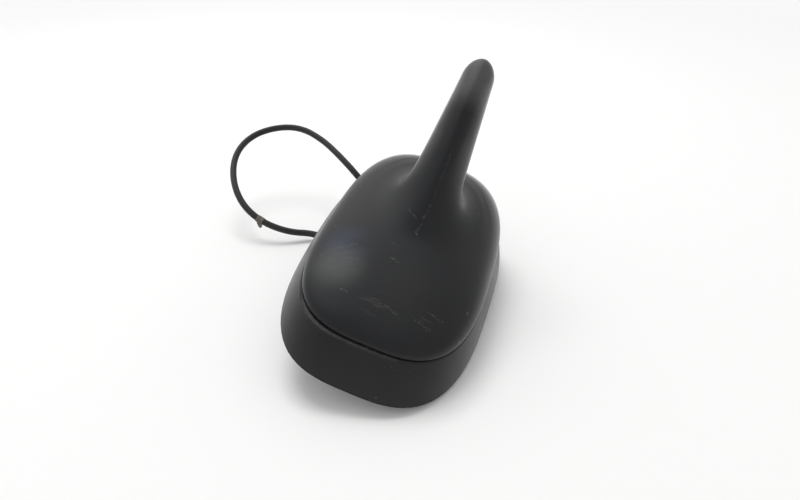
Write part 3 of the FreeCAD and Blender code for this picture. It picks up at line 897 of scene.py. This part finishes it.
def makeCoverFinish():
    look = coverLook
    finish, tree, shader, place = startFinish("satinMoulding")
    height, cloudy = addMottle(tree, place, look["grainScale"], look["cloudScale"])
    worn = highest(tree, markMasks(tree, place, coverMarks) + scuffMasks(tree, place, coverScuffs)
                   + [thinDust(tree, place, look)])
    base = mixColour(tree, cloudy, look["dark"], look["light"])
    # painted reflection: a blue sky reflection mixed into the dome's left shoulder
    skyReflection = times(tree, nearTo(tree, place, look["skyReflectionCentre"], look["skyReflectionReach"]), cloudy)
    base = mixColour(tree, skyReflection, base, look["skyReflection"])
    # painted highlight on the dome's left front, in place of the lamp's own reflection
    shoulderHighlight = nearTo(tree, place, look["shoulderHighlightCentre"], look["shoulderHighlightReach"], look["shoulderHighlightFull"])
    base = mixColour(tree, shoulderHighlight, base, look["shoulderHighlight"])
    climb = addNode(tree, "VectorMath", {0: place}, {1: (0.0, math.sin(lean), math.cos(lean))},
                    operation="DOT_PRODUCT")
    root = coverSet["rootY"] * math.sin(lean) + coverSet["rootZ"] * math.cos(lean)
    # painted highlight: the colour grows lighter towards the mast's tip
    towardTip = addNode(tree, "MapRange", {"Value": climb.outputs["Value"]},
                   {"From Min": (root + look["tipFrom"]) * mm, "From Max": (root + look["tipFull"]) * mm},
                   interpolation_type="SMOOTHSTEP")
    tipHighlight = times(tree, towardTip.outputs["Result"], spread(tree, cloudy, look["tipWeak"], look["tipStrong"]))
    base = mixColour(tree, tipHighlight, base, look["tipHighlight"])
    tree.links.new(mixColour(tree, worn, base, look["worn"]), shader.inputs["Base Color"])
    gloss = spread(tree, cloudy, look["roughLow"], look["roughHigh"])
    sleek = addNode(tree, "MapRange", {"Value": climb.outputs["Value"], "To Min": gloss},
                    {"From Min": root * mm, "From Max": (root + coverSet["levelOut"]) * mm,
                     "To Max": look["roughMast"]}, interpolation_type="SMOOTHSTEP")
    rough = addNode(tree, "MapRange", {"Value": worn, "To Min": sleek.outputs["Result"]},
                    {"To Max": look["roughWorn"]})
    tree.links.new(rough.outputs["Result"], shader.inputs["Roughness"])
    grained = addBump(tree, height, look["grainStrength"], look["grainDepth"])
    scored = addNode(tree, "Bump", {"Height": worn, "Normal": grained},
                     {"Strength": look["scoreStrength"], "Distance": look["scoreDepth"] * mm}, invert=True)
    tree.links.new(scored.outputs["Normal"], shader.inputs["Normal"])
    shader.inputs["Specular IOR Level"].default_value = look["gloss"]
    return finish


# Finish of the skirt: duller rubber, pale along its upper rim, partly from rub wear and partly as a painted
# highlight
skirtMarks = {  # as for the cover
    # the rim marks paint a pale band along the upper rim: partly rub wear, partly painted highlight
    "rimLeft": ((-23.0, -40.9, 12.2), (-19.0, -45.0, 12.3), 1.60, 0.20, 0.30),
    "rimCorner": ((-19.0, -45.0, 12.3), (-14.5, -47.3, 12.35), 1.60, 0.20, 0.30),
    "rimFront": ((-14.5, -47.3, 12.35), (0.0, -48.6, 12.4), 1.60, 0.20, 0.30),
    "rimRight": ((0.0, -48.6, 12.4), (9.8, -47.9, 12.4), 1.40, 0.26, 0.24),
    "nick": ((0.2, -48.2, 12.5), (0.9, -48.3, 12.4), 0.70, 0.20, 0.8),
    "speck": ((8.5, -55.7, 1.7), (8.8, -55.6, 1.9), 0.50, 0.10, 0.6),
}
skirtLook = {
    "grainScale": 1300.0,
    "cloudScale": 38.0,
    "grainStrength": 0.4,
    "grainDepth": 0.03,
    "dustScale": 600.0,
    "dustFrom": 0.48,
    "dustDepth": 0.2,
    "dark": (0.0062, 0.0064, 0.0070),
    "light": (0.0095, 0.0097, 0.0102),
    "worn": (0.10, 0.10, 0.098),
    "roughLow": 0.34,
    "roughHigh": 0.45,
    "gloss": 0.22,
}


def makeSkirtFinish():
    look = skirtLook
    finish, tree, shader, place = startFinish("skirtRubber")
    height, cloudy = addMottle(tree, place, look["grainScale"], look["cloudScale"])
    # the worn mask holds rub wear, dust and the painted highlight along the rim
    worn = highest(tree, markMasks(tree, place, skirtMarks) + [thinDust(tree, place, look)])
    base = mixColour(tree, cloudy, look["dark"], look["light"])
    tree.links.new(mixColour(tree, worn, base, look["worn"]), shader.inputs["Base Color"])
    tree.links.new(spread(tree, cloudy, look["roughLow"], look["roughHigh"]), shader.inputs["Roughness"])
    grained = addBump(tree, height, look["grainStrength"], look["grainDepth"])
    tree.links.new(grained, shader.inputs["Normal"])
    shader.inputs["Specular IOR Level"].default_value = look["gloss"]
    return finish


# Finish of the lead: vinyl, rough and specked along its lower stretch
jacketLook = {
    "grainScale": 1400.0,
    "cloudScale": 300.0,
    "lumpStrength": 0.5,
    "lumpDepth": 0.12,
    "speckScale": 900.0,
    "speckFrom": 0.2,
    "dark": (0.007, 0.007, 0.0072),
    "light": (0.012, 0.012, 0.0122),
    "speck": (0.16, 0.155, 0.145),
    "dirtyMiddle": (-52.0, 31.0, -30.0),
    "dirtyReach": 26.0,
    "dirtyFull": 12.0,
    "cleanShare": 0.08,
    "dirtyShare": 0.6,
    "roughLow": 0.4,
    "roughHigh": 0.56,
    "gloss": 0.3,
}


def makeJacketFinish():
    look = jacketLook
    finish, tree, shader, place = startFinish("jacketVinyl")
    cloudy = addMottle(tree, place, look["grainScale"], look["cloudScale"])[1]
    specks = addGroup(tree, dustSpecks, {"Vector": place},
                      {"Scale": look["speckScale"], "Amount": look["speckFrom"]})
    away = addNode(tree, "VectorMath", {0: place}, {1: inMetres(look["dirtyMiddle"])}, operation="DISTANCE")
    dirty = addNode(tree, "MapRange", {"Value": away.outputs["Value"]},
                    {"From Min": look["dirtyReach"] * mm, "From Max": look["dirtyFull"] * mm,
                     "To Min": look["cleanShare"], "To Max": look["dirtyShare"]})
    mask = times(tree, specks.outputs["Mask"], dirty.outputs["Result"])
    base = mixColour(tree, cloudy, look["dark"], look["light"])
    tree.links.new(mixColour(tree, mask, base, look["speck"]), shader.inputs["Base Color"])
    tree.links.new(spread(tree, cloudy, look["roughLow"], look["roughHigh"]), shader.inputs["Roughness"])
    lumpy = addBump(tree, cloudy, look["lumpStrength"], look["lumpDepth"])
    tree.links.new(lumpy, shader.inputs["Normal"])
    shader.inputs["Specular IOR Level"].default_value = look["gloss"]
    return finish


# All finishes: plain ones for tape, plate, plug and what the cover hides
coverFinish = makeCoverFinish()
skirtFinish = makeSkirtFinish()
jacketFinish = makeJacketFinish()
tapeFinish = plainFinish("oldTape", (0.03, 0.027, 0.023), (0.16, 0.145, 0.12), (0.6, 0.8),
                         grain=2500.0, cloud=900.0)
castFinish = plainFinish("castMetal", (0.42, 0.42, 0.43), (0.56, 0.56, 0.57), (0.38, 0.52),
                         metal=1.0, depth=0.05)
brassFinish = plainFinish("platedBrass", (0.62, 0.46, 0.20), (0.74, 0.58, 0.28), (0.24, 0.36), metal=1.0)
steelFinish = plainFinish("zincSteel", (0.52, 0.52, 0.50), (0.64, 0.64, 0.61), (0.28, 0.42), metal=1.0)
boardFinish = plainFinish("solderMask", (0.010, 0.075, 0.035), (0.016, 0.11, 0.05), (0.25, 0.4), grain=600.0)
ceramicFinish = plainFinish("firedCeramic", (0.52, 0.46, 0.36), (0.62, 0.56, 0.46), (0.5, 0.65))
whiteFinish = plainFinish("whiteMoulding", (0.62, 0.61, 0.58), (0.72, 0.71, 0.68), (0.42, 0.55))
blackFinish = plainFinish("blackMoulding", (0.010, 0.010, 0.011), (0.016, 0.016, 0.018), (0.4, 0.55))
foamFinish = plainFinish("sealFoam", (0.02, 0.02, 0.02), (0.04, 0.04, 0.04), (0.8, 0.95),
                         grain=900.0, depth=0.15)
copperFinish = plainFinish("copperWire", (0.62, 0.30, 0.16), (0.72, 0.40, 0.24), (0.25, 0.38), metal=1.0)

for piece, finish in ((cover, coverFinish), (skirt, skirtFinish), (lead, jacketFinish), (tape, tapeFinish),
                      (thread, castFinish)):
    piece.data.materials.append(finish)
for name, finish in {
    "base_plate": castFinish, "stud_seal": foamFinish, "cover_gasket": foamFinish,
    "cover_screws": steelFinish, "circuit_board": boardFinish, "board_screws": steelFinish,
    "gps_patch": ceramicFinish, "patch_feed_pin": brassFinish, "shield_can": steelFinish,
    "amplifier_chip": blackFinish, "mast_radiator": brassFinish, "radiator_bracket": whiteFinish,
    "cable_grommet": blackFinish, "coax_lead": jacketFinish, "lead_ferrule": brassFinish,
    "lead_core": copperFinish, "connector_crimp": blackFinish, "connector_housing": blackFinish,
    "connector_barrel": brassFinish, "connector_insulator": whiteFinish, "connector_pin": brassFinish,
}.items():
    dress(name, finish)
print("finishes set")

# Floor, world and lamp, in metres and watts
stageSet = {
    "up": (-0.2874, 0.1262, 0.9495),
    "drop": 0.0149,
    "size": 24.0,
    "floorColour": (0.89, 0.89, 0.885),
    "floorRough": 0.6,
    "floorGloss": 0.2,
    "background": 0.95,
    "fill": 0.72,
    "brightSide": (-0.97, 0.12, 0.2),
    "mirrorFrom": 0.2,
    "mirrorLow": 0.95,
    "mirrorHigh": 1.25,
    "overhead": (-0.52, 0.40, 0.76),
    "overheadFrom": 0.72,
    "overheadGlow": 1.25,
    "floorShine": 1.35,
    "plainFrom": 0.3,
    "plainFull": 0.9,
    "lampPlace": (-0.58, 0.43, 0.95),
    "lampSize": 0.6,
    "lampPower": 6.6,
}


def makeFloor():
    up = Vector(stageSet["up"]).normalized()
    deselectAll()
    bpy.ops.mesh.primitive_plane_add(size=stageSet["size"])
    floor = bpy.context.object
    floor.name = "paleFloor"
    turn = up.to_track_quat("Z", "Y").to_matrix().to_4x4()
    floor.matrix_world = Matrix.Translation(-up * stageSet["drop"]) @ turn
    finish, tree, shader, place = startFinish("paleTable")
    shader.inputs["Base Color"].default_value = (*stageSet["floorColour"], 1.0)
    shader.inputs["Roughness"].default_value = stageSet["floorRough"]
    shader.inputs["Specular IOR Level"].default_value = stageSet["floorGloss"]
    ray = addNode(tree, "LightPath")
    shine = addNode(tree, "Emission", {"Strength": ray.outputs["Is Glossy Ray"]},
                    {"Color": (*[stageSet["floorShine"] - 1.0] * 3, 1.0)})
    lit = addNode(tree, "AddShader", {0: shader.outputs["BSDF"], 1: shine.outputs["Emission"]})
    # further off, the camera sees a plain pale ground
    away = addNode(tree, "VectorMath", {0: place}, operation="LENGTH")
    far = addNode(tree, "MapRange", {"Value": away.outputs["Value"]},
                  {"From Min": stageSet["plainFrom"], "From Max": stageSet["plainFull"]},
                  interpolation_type="SMOOTHSTEP")
    seen = highest(tree, [ray.outputs["Is Camera Ray"], ray.outputs["Is Transmission Ray"]])
    fade = times(tree, far.outputs["Result"], seen)
    plain = addNode(tree, "Emission", values={"Color": (*[stageSet["background"]] * 3, 1.0)})
    lit = addNode(tree, "MixShader", {0: fade, 1: lit.outputs["Shader"], 2: plain.outputs["Emission"]})
    # seen from below, it is clear
    side = addNode(tree, "NewGeometry")
    clear = addNode(tree, "BsdfTransparent")
    both = addNode(tree, "MixShader", {0: side.outputs["Backfacing"], 1: lit.outputs["Shader"],
                                       2: clear.outputs["BSDF"]})
    tree.links.new(both.outputs["Shader"], tree.nodes["Material Output"].inputs["Surface"])
    floor.data.materials.append(finish)


def makeLight():
    world = bpy.data.worlds.new("paleRoom")
    scene.world = world
    world.use_nodes = True
    tree = world.node_tree
    tree.nodes.clear()
    ray = addNode(tree, "LightPath")
    view = addNode(tree, "TexCoord")
    # reflections see a brighter side and a glow overhead, and all else an even room
    facing = addNode(tree, "VectorMath", {0: view.outputs["Generated"]},
                     {1: Vector(stageSet["brightSide"]).normalized()}, operation="DOT_PRODUCT")
    mirror = addNode(tree, "MapRange", {"Value": facing.outputs["Value"]},
                     {"From Min": stageSet["mirrorFrom"], "To Min": stageSet["mirrorLow"],
                      "To Max": stageSet["mirrorHigh"]}, interpolation_type="SMOOTHSTEP")
    above = addNode(tree, "VectorMath", {0: view.outputs["Generated"]},
                    {1: Vector(stageSet["overhead"]).normalized()}, operation="DOT_PRODUCT")
    window = addNode(tree, "MapRange", {"Value": above.outputs["Value"]},
                     {"From Min": stageSet["overheadFrom"], "To Max": stageSet["overheadGlow"]},
                     interpolation_type="SMOOTHSTEP")
    shine = addNode(tree, "Math", {0: mirror.outputs["Result"], 1: window.outputs["Result"]},
                    operation="ADD")
    seen = highest(tree, [ray.outputs["Is Camera Ray"], ray.outputs["Is Transmission Ray"]])
    plain = spread(tree, seen, stageSet["fill"], stageSet["background"])
    level = addNode(tree, "MapRange", {"Value": ray.outputs["Is Glossy Ray"], "To Min": plain,
                                       "To Max": shine.outputs["Value"]})
    glow = addNode(tree, "Background", {"Strength": level.outputs["Result"]}, {"Color": (1, 1, 1, 1)})
    addNode(tree, "OutputWorld", {"Surface": glow.outputs["Background"]})
    deselectAll()
    bpy.ops.object.light_add(type="AREA", location=stageSet["lampPlace"])
    lamp = bpy.context.object
    lamp.name = "softLamp"
    lamp.data.size = stageSet["lampSize"]
    lamp.data.energy = stageSet["lampPower"]
    lamp.visible_glossy = False  # no hard spot on the satin cover
    lamp.rotation_euler = Vector(stageSet["lampPlace"]).to_track_quat("Z", "Y").to_euler()


makeFloor()
makeLight()
print("floor and light set")

bpy.context.view_layer.update()
